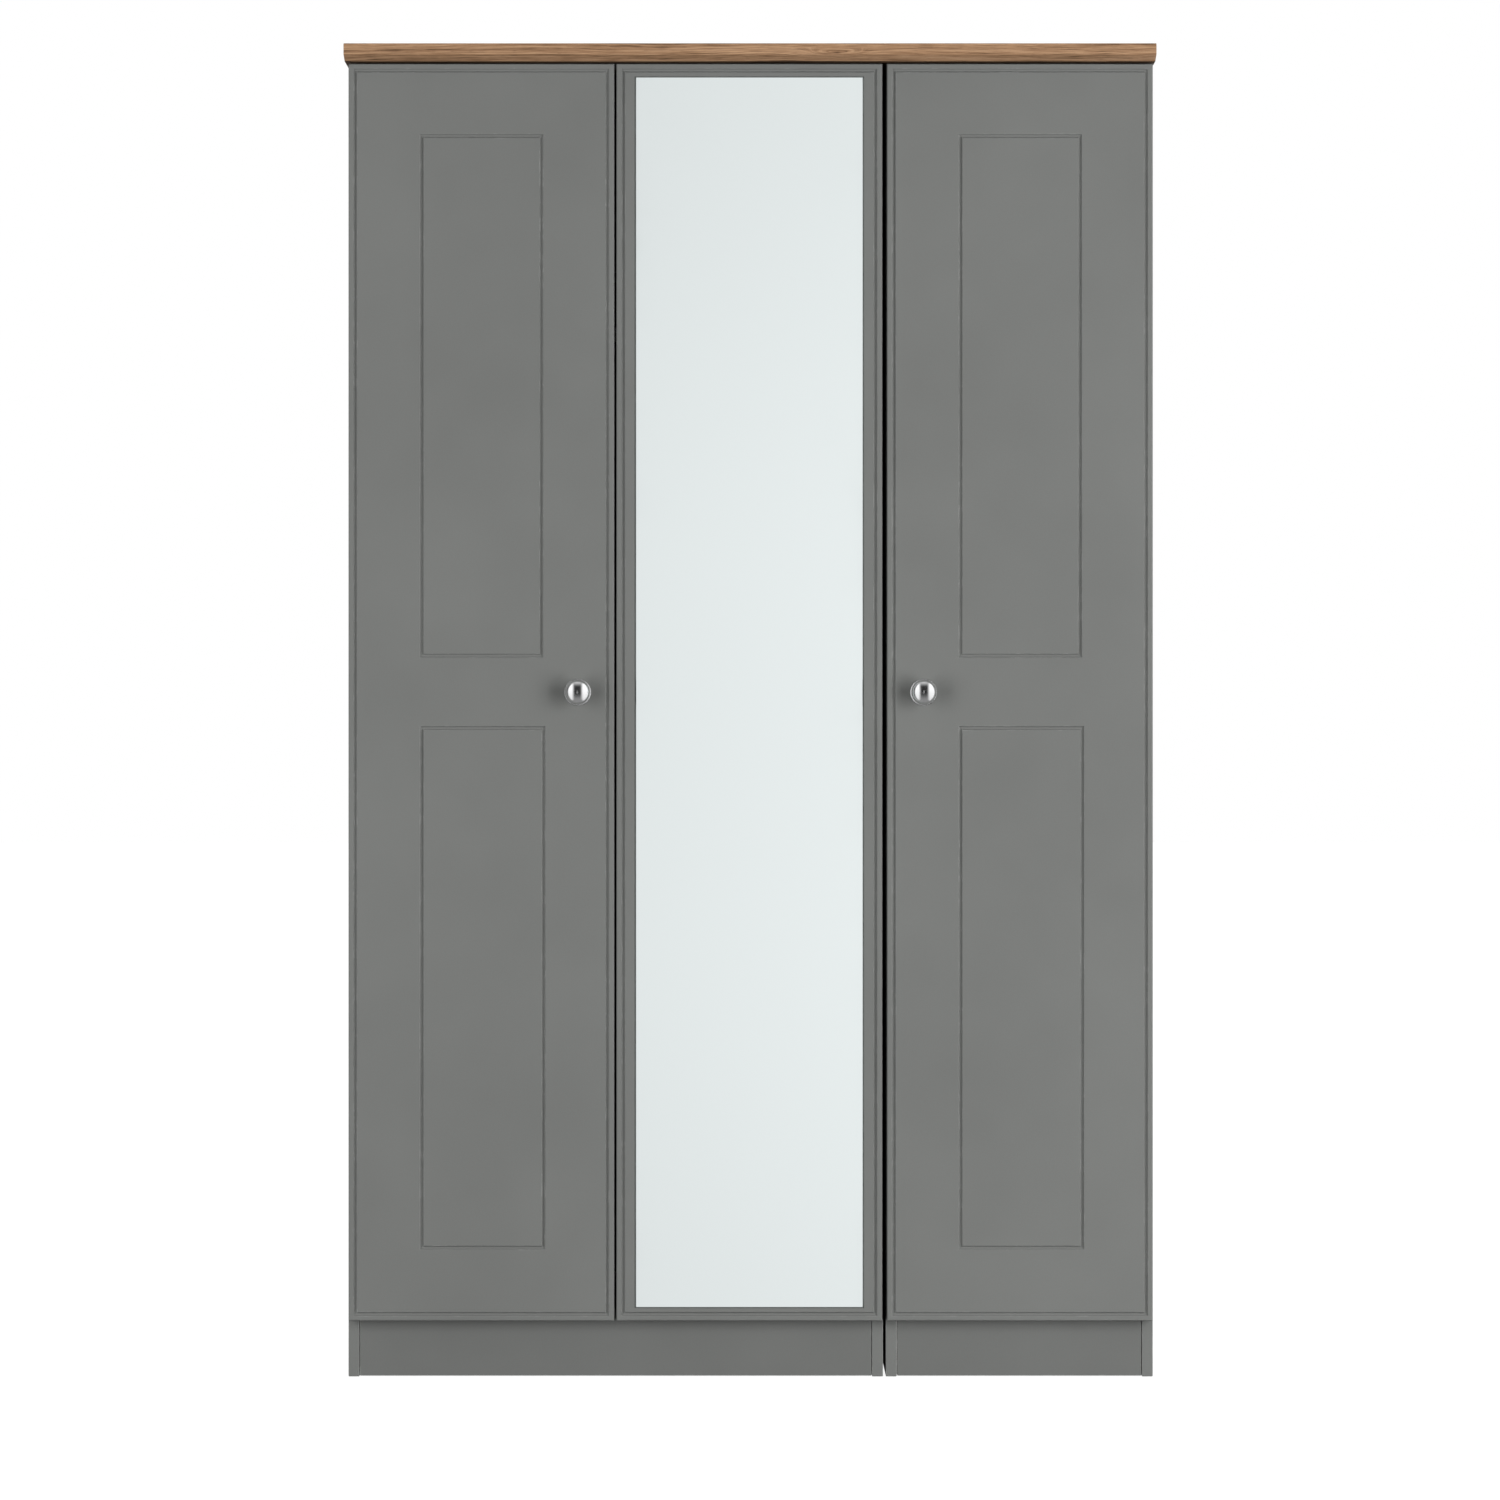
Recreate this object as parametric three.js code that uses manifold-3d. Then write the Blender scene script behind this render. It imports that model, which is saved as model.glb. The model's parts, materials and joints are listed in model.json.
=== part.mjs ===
// Three-door wardrobe: a double unit and a single unit standing side by side under one shared top board.
// Millimetres, +Z up, the doors face -Y.  Depths (y) are counted from the front face of the closed doors.
import * as THREE from "three";
import Module from "manifold-3d";

const wasm = await Module();
wasm.setup();

// ---------------------------------------------------------------- driving dimensions
const BOARD = 15;              // carcass board thickness
const DOOR_T = 18;             // door thickness
const DOOR_GAP = 3;            // free space between door back and panel front edges
const FRONT = DOOR_T + DOOR_GAP;   // y of the panel front edges
const REAR = 524;              // y of the panel rear edges
const SIDE_H = 1798.5;         // side panel height, floor to top board
const PLINTH = { height: 78, recess: 1, lift: 1, play: 0.5 };
const BACK = { thick: 3, y: 510.3, tongue: 5.5, slot: 0.3 };
const SHELF = { z: 1500, front: 46, rear: 509.5 };
const RAIL = { z: 1448, y: 262, tall: 30, wide: 15, wall: 1.2 };
const TOP_RAIL_DEPTH = 80;
const CLEAR = 0.3;             // fit between a cut pocket and the piece inside it

const UNITS = [
  { name: "double", x0: -550.25, width: 732.5, jointed_back: true },
  { name: "single", x0: 186, width: 366, jointed_back: false },
];

const TOP = { x: 555, front: -6, z0: SIDE_H, z1: 1823.5, band: 9.8, tuck: 1.4, ease: 1 };

const DOOR = { width: 363.25, height: 1718, z0: 78.5, front_round: 2.5, back_round: 2 };
const GROOVE = { centre: 9.4, width: 5, depth: 2 };
const PANEL = {
  inset_x: 100.5, inset_low: 100, inset_high: 99, height: 710, upper_width: 163.25, lower_width: 166.25,
};
const MIRROR = { width: 309.25, height: 1681, thick: 3, recess: 1.25, play: 0.75, bond: 0.25 };
const KNOB = {
  radius: 16.9, half_depth: 12, reach: 35, neck: 6.5, rose: 18.4, rose_thick: 2.4,
  inset: 49.75, screw: 2, head: 4.5,
};

// side: +1 hinged on its left edge, -1 hinged on its right edge
const DOORS = [
  { name: "left", x0: -548.75, side: 1, knob: true, mirror: false },
  { name: "mirror", x0: -182.5, side: -1, knob: false, mirror: true },
  { name: "right", x0: 187.25, side: -1, knob: true, mirror: false },
];

// cup hinge with one pivot pin; u runs from the door edge inwards, v from the door front face backwards
const PIN = { u: 8.5, v: 8.5, radius: 1.1, half: 9.5 };
const CUP = { u: 21.5, bore: 17.5, wall: 0.8, floor: 4.8, flange: 1.2, rim: 19, wing_z: 28, wing_u: 8 };
const ARM = {
  eye: 2.1, half: 5.5, thick: 2, bend: 3.6, crown: 24.8, start: 28, end: 76, channel: 7, skin: 1.4,
};
const PLATE = { thick: 3.6, start: 33, end: 72, wing: 27, wing_start: 37, wing_end: 51, half: 5.2, rib: 3 };
const PANEL_U = BOARD - 1.5;   // u of the panel inner face beside every hinged door edge
const HINGE_HEIGHTS = [
  { name: "bottom", z: DOOR.z0 + 110 },
  { name: "middle", z: DOOR.z0 + DOOR.height / 2 },
  { name: "top", z: DOOR.z0 + DOOR.height - 110 },
];

// ---------------------------------------------------------------- materials
function material(color, roughness, metalness) {
  return new THREE.MeshStandardMaterial({ color, roughness, metalness });
}
const M = {
  grey: material(0x7a7b78, 0.55, 0),
  oak: material(0xa6836a, 0.5, 0),
  hardboard: material(0x8a8782, 0.7, 0),
  chrome: material(0xd8dadc, 0.12, 1),
  nickel: material(0xb9bab8, 0.28, 1),
  plastic: material(0xc9c9c6, 0.45, 0),
  mirror: material(0xe4eaea, 0.03, 1),
};

// ---------------------------------------------------------------- geometry helpers
// axis-aligned block from its two opposite corners
function block(x0, x1, y0, y1, z0, z1) {
  const g = new THREE.BoxGeometry(x1 - x0, y1 - y0, z1 - z0);
  g.translate((x0 + x1) / 2, (y0 + y1) / 2, (z0 + z1) / 2);
  return g;
}

// closed outline in x,y pulled straight up from z0 to z1
function prism(points, z0, z1, holes = []) {
  const shape = new THREE.Shape(points.map(([x, y]) => new THREE.Vector2(x, y)));
  for (const hole of holes) {
    shape.holes.push(new THREE.Path(hole.map(([x, y]) => new THREE.Vector2(x, y))));
  }
  const g = new THREE.ExtrudeGeometry(shape, { depth: z1 - z0, bevelEnabled: false, steps: 1 });
  g.translate(0, 0, z0);
  return g;
}

// turns geometry built as (a, b, c) into (y, z, x), so a prism runs along the width of the unit
function alongX(g) {
  const m = new THREE.Matrix4().makeBasis(
    new THREE.Vector3(0, 1, 0), new THREE.Vector3(0, 0, 1), new THREE.Vector3(1, 0, 0));
  return g.applyMatrix4(m);
}

// round bar or disc whose axis runs from front to back
function cylinderY(x, z, radius, y0, y1, segments) {
  const g = new THREE.CylinderGeometry(radius, radius, y1 - y0, segments);
  g.translate(x, (y0 + y1) / 2, z);
  return g;
}

function circle(cx, cy, radius, segments) {
  return Array.from({ length: segments }, (_, i) => {
    const a = (2 * Math.PI * i) / segments;
    return [cx + radius * Math.cos(a), cy + radius * Math.sin(a)];
  });
}

// stadium outline, taller than wide
function stadium(wide, tall, segments) {
  const r = wide / 2;
  const h = tall / 2 - r;
  const points = [];
  for (let i = 0; i <= segments; i += 1) {
    const a = (Math.PI * i) / segments;
    points.push([r * Math.cos(a), h + r * Math.sin(a)]);
  }
  for (let i = 0; i <= segments; i += 1) {
    const a = Math.PI + (Math.PI * i) / segments;
    points.push([r * Math.cos(a), -h + r * Math.sin(a)]);
  }
  return points;
}

// solid for the boolean kernel, with equal points merged
function toSolid(geometry) {
  const position = geometry.getAttribute("position");
  const index = geometry.index ? Array.from(geometry.index.array) : [...Array(position.count).keys()];
  const seen = new Map();
  const vertices = [];
  const remap = [];
  for (let i = 0; i < position.count; i += 1) {
    const p = [position.getX(i), position.getY(i), position.getZ(i)];
    const key = p.map((c) => Math.round(c * 1e4)).join(",");
    if (!seen.has(key)) {
      seen.set(key, vertices.length / 3);
      vertices.push(...p);
    }
    remap.push(seen.get(key));
  }
  const triangles = [];
  for (let i = 0; i < index.length; i += 3) {
    const t = [remap[index[i]], remap[index[i + 1]], remap[index[i + 2]]];
    if (t[0] !== t[1] && t[1] !== t[2] && t[2] !== t[0]) {
      triangles.push(...t);
    }
  }
  const mesh = new wasm.Mesh({
    numProp: 3,
    vertProperties: new Float32Array(vertices),
    triVerts: new Uint32Array(triangles),
  });
  return new wasm.Manifold(mesh);
}

function toGeometry(solid) {
  const mesh = solid.getMesh();
  const g = new THREE.BufferGeometry();
  g.setAttribute("position", new THREE.BufferAttribute(new Float32Array(mesh.vertProperties), 3));
  g.setIndex(new THREE.BufferAttribute(new Uint32Array(mesh.triVerts), 1));
  g.computeVertexNormals();
  return g;
}

// joins the first list of pieces, then cuts away the second
function carve(added, removed = []) {
  let solid = toSolid(added[0]);
  for (const g of added.slice(1)) {
    solid = solid.add(toSolid(g));
  }
  for (const g of removed) {
    solid = solid.subtract(toSolid(g));
  }
  return toGeometry(solid);
}

const wardrobe = new THREE.Group();
wardrobe.name = "wardrobe";
// centre the footprint, knobs included, on the origin
wardrobe.position.y = -(REAR - KNOB.reach) / 2;

function piece(name, geometry, mat) {
  const mesh = new THREE.Mesh(geometry, mat);
  mesh.name = name;
  wardrobe.add(mesh);
  return mesh;
}

// ---------------------------------------------------------------- carcass units
// side panel, grooved on its inner face for the back sheet; inward is +1 when the inside lies towards +x
function sidePanel(x, inward) {
  const inner = x + inward * BOARD;
  const floor = inner - inward * (BACK.tongue + BACK.slot);
  const g0 = BACK.y - BACK.slot;
  const g1 = BACK.y + BACK.thick + BACK.slot;
  return prism([
    [x, FRONT], [inner, FRONT], [inner, g0], [floor, g0],
    [floor, g1], [inner, g1], [inner, REAR], [x, REAR],
  ], 0, SIDE_H);
}

// flanged cradle that carries one end of the hanging rail
function railSocket(x, inward) {
  const plate = 2.5;
  const depth = 13;
  const grip = 1.6;
  const outer = stadium(RAIL.wide + 2 * (CLEAR + grip), RAIL.tall + 2 * (CLEAR + grip), 8);
  const inner = stadium(RAIL.wide + 2 * CLEAR, RAIL.tall + 2 * CLEAR, 8);
  const flange = stadium(RAIL.wide + 17, RAIL.tall + 22, 8);
  const span = (a, b) => (inward > 0 ? [x + a, x + b] : [x - b, x - a]);
  const [f0, f1] = span(0, plate);
  const [r0, r1] = span(plate - 0.5, depth);
  const [c0, c1] = span(plate, depth + 1);
  const g = carve(
    [alongX(prism(flange, f0, f1)), alongX(prism(outer, r0, r1))],
    [alongX(prism(inner, c0, c1))]);
  g.translate(0, RAIL.y, RAIL.z);
  return g;
}

for (const unit of UNITS) {
  const left = unit.x0;
  const right = unit.x0 + unit.width;
  const inL = left + BOARD;
  const inR = right - BOARD;
  const baseTop = PLINTH.height + BOARD;
  const name = (part) => `${unit.name}_${part}`;

  piece(name("side_left"), sidePanel(left, 1), M.grey);
  piece(name("side_right"), sidePanel(right, -1), M.grey);
  piece(name("base"), block(inL, inR, FRONT, 510, PLINTH.height, baseTop), M.grey);
  const plinthFront = FRONT + PLINTH.recess;
  piece(name("plinth"), block(
    inL + PLINTH.play, inR - PLINTH.play, plinthFront, plinthFront + BOARD, PLINTH.lift, PLINTH.height,
  ), M.grey);
  const railZ = SIDE_H - BOARD;
  piece(name("top_rail_front"), block(inL, inR, FRONT, FRONT + TOP_RAIL_DEPTH, railZ, SIDE_H), M.grey);
  piece(name("top_rail_back"), block(inL, inR, 510 - TOP_RAIL_DEPTH, 510, railZ, SIDE_H), M.grey);
  piece(name("shelf"), block(inL, inR, SHELF.front, SHELF.rear, SHELF.z, SHELF.z + BOARD), M.grey);

  // back sheet; the wide unit has two sheets held by an H-section strip down the middle
  const backZ = [PLINTH.height, SIDE_H - 1];
  const y0 = BACK.y;
  const y1 = BACK.y + BACK.thick;
  const sheetL = inL - BACK.tongue;
  const sheetR = inR + BACK.tongue;
  if (unit.jointed_back) {
    const mid = (left + right) / 2;
    const web = 0.7;
    const lip = 11;
    const skin = 1;
    piece(name("back_left"), block(sheetL, mid - web - CLEAR, y0, y1, ...backZ), M.hardboard);
    piece(name("back_right"), block(mid + web + CLEAR, sheetR, y0, y1, ...backZ), M.hardboard);
    // the front lips stop short of the shelf, base and rail edges, which the sheets pass behind
    const a = y1 + CLEAR;
    piece(name("back_strip"), prism([
      [mid - web, y0 + CLEAR], [mid + web, y0 + CLEAR], [mid + web, a], [mid + lip, a],
      [mid + lip, a + skin], [mid - lip, a + skin], [mid - lip, a], [mid - web, a],
    ], ...backZ), M.plastic);
  } else {
    piece(name("back"), block(sheetL, sheetR, y0, y1, ...backZ), M.hardboard);
  }

  // oval hanging rail between two sockets
  const hollow = stadium(RAIL.wide - 2 * RAIL.wall, RAIL.tall - 2 * RAIL.wall, 8);
  const end = 2.5 + CLEAR;
  const rail = alongX(prism(stadium(RAIL.wide, RAIL.tall, 8), inL + end, inR - end, [hollow]));
  rail.translate(0, RAIL.y, RAIL.z);
  piece(name("hanging_rail"), rail, M.chrome);
  piece(name("rail_socket_left"), railSocket(inL, 1), M.plastic);
  piece(name("rail_socket_right"), railSocket(inR, -1), M.plastic);
}

// ---------------------------------------------------------------- shared top board
// stacked rectangular sections: a lower band tucking in slightly, an upright face and an eased upper edge
function topBoard() {
  const levels = [
    [TOP.tuck + TOP.ease * 0.6, TOP.z0],
    [TOP.tuck, TOP.z0 + TOP.ease],
    [0, TOP.z0 + TOP.band],
    [0, TOP.z1 - TOP.ease],
    [TOP.ease * 0.3, TOP.z1 - TOP.ease * 0.3],
    [TOP.ease, TOP.z1],
  ];
  const vertices = [];
  for (const [inset, z] of levels) {
    const x = TOP.x - inset;
    const y = TOP.front + inset;
    vertices.push(-x, y, z, x, y, z, x, REAR, z, -x, REAR, z);
  }
  const triangles = [0, 2, 1, 0, 3, 2];
  for (let k = 0; k < levels.length - 1; k += 1) {
    for (let i = 0; i < 4; i += 1) {
      const a = 4 * k + i;
      const b = 4 * k + ((i + 1) % 4);
      triangles.push(a, b, b + 4, a, b + 4, a + 4);
    }
  }
  const t = 4 * (levels.length - 1);
  triangles.push(t, t + 1, t + 2, t, t + 2, t + 3);
  const g = new THREE.BufferGeometry();
  g.setAttribute("position", new THREE.BufferAttribute(new Float32Array(vertices), 3));
  g.setIndex(triangles);
  g.computeVertexNormals();
  return g;
}
piece("top_board", topBoard(), M.oak);

// ---------------------------------------------------------------- doors
// plan outline of a door slab with rounded long edges, local x from 0 to the door width
function slabOutline() {
  const corner = (cx, cy, r, from) => [0, 1, 2, 3].map((i) => {
    const a = from + (Math.PI / 2) * (i / 3);
    return [cx + r * Math.cos(a), cy + r * Math.sin(a)];
  });
  const f = DOOR.front_round;
  const b = DOOR.back_round;
  const w = DOOR.width;
  return [
    ...corner(f, f, f, Math.PI),
    ...corner(w - f, f, f, 1.5 * Math.PI),
    ...corner(w - b, DOOR_T - b, b, 0),
    ...corner(b, DOOR_T - b, b, 0.5 * Math.PI),
  ];
}

// the four strips of a rectangular groove whose centre line is the given rectangle
function grooveStrips(x0, x1, z0, z1) {
  const h = GROOVE.width / 2;
  const y0 = -1;
  const y1 = GROOVE.depth;
  return [
    block(x0 - h, x1 + h, y0, y1, z0 - h, z0 + h),
    block(x0 - h, x1 + h, y0, y1, z1 - h, z1 + h),
    block(x0 - h, x0 + h, y0, y1, z0 - h, z1 + h),
    block(x1 - h, x1 + h, y0, y1, z0 - h, z1 + h),
  ];
}

// local u of a hinge, measured from the hinged edge, as local x across the door
function doorU(door, u) {
  return door.side > 0 ? u : DOOR.width - u;
}

function doorSlab(door) {
  const cuts = [];
  const c = GROOVE.centre;
  cuts.push(...grooveStrips(c, DOOR.width - c, c, DOOR.height - c));
  if (!door.mirror) {
    const x0 = PANEL.inset_x;
    const z0 = PANEL.inset_low;
    const z1 = DOOR.height - PANEL.inset_high;
    cuts.push(...grooveStrips(x0, x0 + PANEL.lower_width, z0, z0 + PANEL.height));
    cuts.push(...grooveStrips(x0, x0 + PANEL.upper_width, z1 - PANEL.height, z1));
  }
  if (door.mirror) {
    const x = (DOOR.width - MIRROR.width) / 2 - MIRROR.play;
    const z = (DOOR.height - MIRROR.height) / 2 - MIRROR.play;
    cuts.push(block(x, DOOR.width - x, -1, MIRROR.recess, z, DOOR.height - z));
  }
  for (const h of HINGE_HEIGHTS) {
    cuts.push(cylinderY(doorU(door, CUP.u), h.z - DOOR.z0, CUP.bore, CUP.floor, DOOR_T + 1, 28));
  }
  if (door.knob) {
    const x = doorU(door, DOOR.width - KNOB.inset);
    cuts.push(cylinderY(x, DOOR.height / 2, KNOB.screw + CLEAR, -1, DOOR_T + 1, 12));
  }
  return carve([prism(slabOutline(), 0, DOOR.height)], cuts);
}

// flattened ball knob on a short neck and a round rose, turned about the front-to-back axis
function knobBall() {
  const r = KNOB.radius;
  const cy = KNOB.reach - KNOB.half_depth;
  const points = [new THREE.Vector2(0, KNOB.reach)];
  const last = Math.PI - Math.asin(KNOB.neck / r);
  const steps = 11;
  for (let i = 1; i <= steps; i += 1) {
    const a = (last * i) / steps;
    points.push(new THREE.Vector2(r * Math.sin(a), cy + KNOB.half_depth * Math.cos(a)));
  }
  const base = CLEAR / 2;
  const rim = KNOB.rose_thick * 0.35;
  const bore = KNOB.screw + CLEAR;
  const foot = [
    [KNOB.neck, KNOB.rose_thick], [KNOB.rose - 1.6, KNOB.rose_thick],
    [KNOB.rose - 0.4, KNOB.rose_thick - 0.6], [KNOB.rose, rim], [KNOB.rose, base],
    [bore, base], [bore, 14], [0, 15],
  ];
  points.push(...foot.map(([r0, y0]) => new THREE.Vector2(r0, y0)));
  const g = new THREE.LatheGeometry(points.reverse(), 24);
  // lathe axis +Y becomes the outward direction -Y
  g.rotateZ(Math.PI);
  return g;
}

// pan-head screw from the inside of the door into the knob
function knobScrew() {
  const s = KNOB.screw;
  const profile = [
    [0, -12], [s, -12], [s, DOOR_T + CLEAR], [KNOB.head, DOOR_T + CLEAR], [KNOB.head, DOOR_T + 1.6],
    [KNOB.head * 0.6, DOOR_T + 2.7], [0, DOOR_T + 2.9],
  ];
  return new THREE.LatheGeometry(profile.map(([r, y]) => new THREE.Vector2(r, y)), 16);
}

// ---------------------------------------------------------------- hinges
// cup pressed into the door, with a screw flange and the pivot pin across it
function hingeCup(door) {
  const outer = CUP.bore - CLEAR;
  const inner = outer - CUP.wall;
  const f0 = DOOR_T + 0.2;
  const f1 = f0 + CUP.flange;
  const pin = new THREE.CylinderGeometry(PIN.radius, PIN.radius, 2 * PIN.half, 12);
  pin.rotateX(Math.PI / 2);
  pin.translate(door.side * (PIN.u - CUP.u), PIN.v, 0);
  const shell = carve(
    [
      cylinderY(0, 0, outer, CUP.floor + CLEAR, f1, 28),
      cylinderY(0, 0, CUP.rim, f0, f1, 28),
      block(-CUP.wing_u, CUP.wing_u, f0, f1, -CUP.wing_z, CUP.wing_z),
    ],
    [cylinderY(0, 0, inner, CUP.floor + CLEAR + CUP.wall, f1 + 1, 28)]);
  return toGeometry(toSolid(shell).add(toSolid(pin)));
}

// goose-neck arm: an eye round the pin, a neck that leads out of the cup, and a channel over the plate
function hingeArm(door) {
  const s = door.side;
  const flip = (points) => points.map(([u, v]) => [s * u, v]);
  const t = ARM.thick;
  const bendU = ARM.crown - ARM.bend;
  const low = PIN.v - t / 2;
  const bendV = low + ARM.bend;
  const arc = (r, from, to) => [0, 1, 2, 3].map((i) => {
    const a = from + ((to - from) * i) / 3;
    return [bendU + r * Math.cos(a), bendV + r * Math.sin(a)];
  });
  const neck = [
    [PIN.u, low], ...arc(ARM.bend, -Math.PI / 2, 0), [ARM.crown, ARM.start + 1],
    [ARM.crown - t, ARM.start + 1], ...arc(ARM.bend - t, 0, -Math.PI / 2), [PIN.u, low + t],
  ];
  const span = (u0, u1) => (s > 0 ? [u0, u1] : [-u1, -u0]);
  const [c0, c1] = span(PANEL_U + PLATE.thick + CLEAR, ARM.crown);
  const [h0, h1] = span(PANEL_U, ARM.crown - ARM.skin);
  const inside = ARM.channel - ARM.skin;
  return carve(
    [
      prism(flip(circle(PIN.u, PIN.v, ARM.eye, 16)), -ARM.half, ARM.half),
      prism(flip(neck), -ARM.half, ARM.half),
      block(c0, c1, ARM.start, ARM.end, -ARM.channel, ARM.channel),
    ],
    [
      block(h0, h1, ARM.start + ARM.skin, ARM.end + 1, -inside, inside),
      prism(flip(circle(PIN.u, PIN.v, PIN.radius + CLEAR, 12)), -ARM.half - 1, ARM.half + 1),
    ]);
}

// cross-shaped mounting plate screwed to the panel, with a rib inside the arm channel
function hingePlate(door) {
  const s = door.side;
  const span = (u0, u1) => (s > 0 ? [u0, u1] : [-u1, -u0]);
  const [p0, p1] = span(PANEL_U, PANEL_U + PLATE.thick);
  const [r0, r1] = span(PANEL_U + PLATE.thick - 0.5, PANEL_U + PLATE.thick + PLATE.rib);
  const half = PLATE.half;
  return carve([
    block(p0, p1, PLATE.start, PLATE.end, -half, half),
    block(p0, p1, PLATE.wing_start, PLATE.wing_end, -PLATE.wing, PLATE.wing),
    block(r0, r1, PLATE.start + 2, PLATE.end - 2, -half + 0.6, half - 0.6),
  ]);
}

for (const door of DOORS) {
  const edge = door.x0 + doorU(door, 0);
  const slab = piece(`${door.name}_door`, doorSlab(door), M.grey);
  slab.position.set(door.x0, 0, DOOR.z0);

  if (door.mirror) {
    const x = (DOOR.width - MIRROR.width) / 2;
    const z = (DOOR.height - MIRROR.height) / 2;
    const rear = MIRROR.recess - MIRROR.bond;
    const glass = block(0, MIRROR.width, rear - MIRROR.thick, rear, 0, MIRROR.height);
    piece("mirror_glass", glass, M.mirror).position.set(door.x0 + x, 0, DOOR.z0 + z);
  }
  if (door.knob) {
    const x = edge + door.side * (DOOR.width - KNOB.inset);
    const z = DOOR.z0 + DOOR.height / 2;
    piece(`${door.name}_knob`, knobBall(), M.chrome).position.set(x, 0, z);
    piece(`${door.name}_knob_screw`, knobScrew(), M.nickel).position.set(x, 0, z);
  }
  for (const h of HINGE_HEIGHTS) {
    const name = (part) => `${door.name}_hinge_${h.name}_${part}`;
    piece(name("cup"), hingeCup(door), M.nickel).position.set(edge + door.side * CUP.u, 0, h.z);
    piece(name("arm"), hingeArm(door), M.nickel).position.set(edge, 0, h.z);
    piece(name("plate"), hingePlate(door), M.nickel).position.set(edge, 0, h.z);
  }
}

export default wardrobe;
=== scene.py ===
import json
import math

import bmesh
import bpy
from mathutils import Matrix, Vector

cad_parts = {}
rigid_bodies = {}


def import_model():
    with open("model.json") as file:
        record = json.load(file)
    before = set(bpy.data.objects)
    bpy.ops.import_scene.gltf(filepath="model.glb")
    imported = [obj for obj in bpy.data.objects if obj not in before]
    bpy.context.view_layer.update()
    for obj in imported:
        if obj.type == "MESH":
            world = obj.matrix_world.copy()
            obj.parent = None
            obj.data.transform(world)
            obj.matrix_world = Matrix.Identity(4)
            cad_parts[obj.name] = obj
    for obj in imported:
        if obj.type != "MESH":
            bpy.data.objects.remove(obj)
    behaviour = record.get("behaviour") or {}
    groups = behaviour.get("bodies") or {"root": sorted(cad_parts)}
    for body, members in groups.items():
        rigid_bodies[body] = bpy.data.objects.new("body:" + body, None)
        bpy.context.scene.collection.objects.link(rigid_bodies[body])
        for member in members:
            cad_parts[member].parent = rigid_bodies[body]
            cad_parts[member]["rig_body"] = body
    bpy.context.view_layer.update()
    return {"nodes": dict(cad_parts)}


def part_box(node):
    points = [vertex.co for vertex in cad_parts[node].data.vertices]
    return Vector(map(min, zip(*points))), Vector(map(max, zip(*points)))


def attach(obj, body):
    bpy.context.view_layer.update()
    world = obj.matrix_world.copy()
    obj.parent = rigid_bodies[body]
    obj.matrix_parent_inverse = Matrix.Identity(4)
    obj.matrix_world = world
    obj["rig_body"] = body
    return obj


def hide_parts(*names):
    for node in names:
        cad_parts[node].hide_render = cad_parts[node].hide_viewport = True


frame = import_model()
scene = bpy.context.scene
MM = 0.001


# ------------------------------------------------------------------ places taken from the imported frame
def lo(node):
    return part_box(node)[0]


def hi(node):
    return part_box(node)[1]


DOOR_FACE = lo("left_door").y                 # front face of the closed doors
DOORS = {
    "left": {"side": 1, "knob": True, "body": "left_door"},
    "mirror": {"side": -1, "knob": False, "body": "mirror_door"},
    "right": {"side": -1, "knob": True, "body": "right_door"},
}
UNITS = ("double", "single")
HEIGHTS = ("bottom", "middle", "top")


# ------------------------------------------------------------------ shader helpers
def add_node(tree, kind, inputs=(), out=0, **settings):
    """Adds a node, links or sets its inputs, and gives back one of its outputs."""
    n = tree.nodes.new(kind)
    for key, value in settings.items():
        setattr(n, key, value)
    for key, value in dict(inputs).items():
        if isinstance(value, bpy.types.NodeSocket):
            tree.links.new(value, n.inputs[key])
        else:
            n.inputs[key].default_value = value
    return n.outputs[out]


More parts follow.
